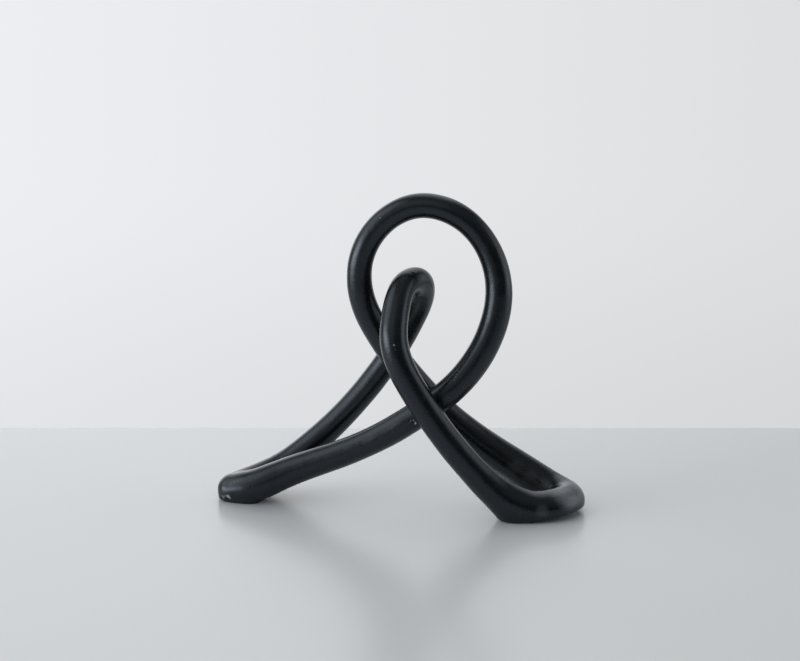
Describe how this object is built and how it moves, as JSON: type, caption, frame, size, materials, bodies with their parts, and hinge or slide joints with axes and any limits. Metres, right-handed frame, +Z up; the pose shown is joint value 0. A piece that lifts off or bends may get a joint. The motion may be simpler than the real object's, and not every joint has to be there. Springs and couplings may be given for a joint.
{
  "type": "knot sculpture",
  "caption": "Free-standing abstract knot of one round bar that crosses over itself in a large and a small loop and comes down to flat-cut feet.",
  "frame": {"origin": "middle of the bounding box, on the plane that the feet stand on", "axes": "+Z up, +X toward the right foot (the one that turns back on itself), -Y toward the side that the picture shows"},
  "size_m": [0.247, 0.0728, 0.2111],
  "materials": {
    "satin_black_paint": "satin black paint over cast metal",
    "zinc_plated_steel": "zinc-plated steel pin",
    "black_felt": "black felt"
  },
  "bodies": {
    "root": {"large_loop": "satin_black_paint", "small_loop": "satin_black_paint", "left_leg": "satin_black_paint", "right_leg": "satin_black_paint", "left_front_dowel": "zinc_plated_steel", "right_rear_dowel": "zinc_plated_steel", "right_front_dowel": "zinc_plated_steel", "left_rear_dowel": "zinc_plated_steel", "left_foot_pad": "black_felt", "right_foot_pad": "black_felt", "right_rear_pad": "black_felt"}
  },
  "joints": []
}
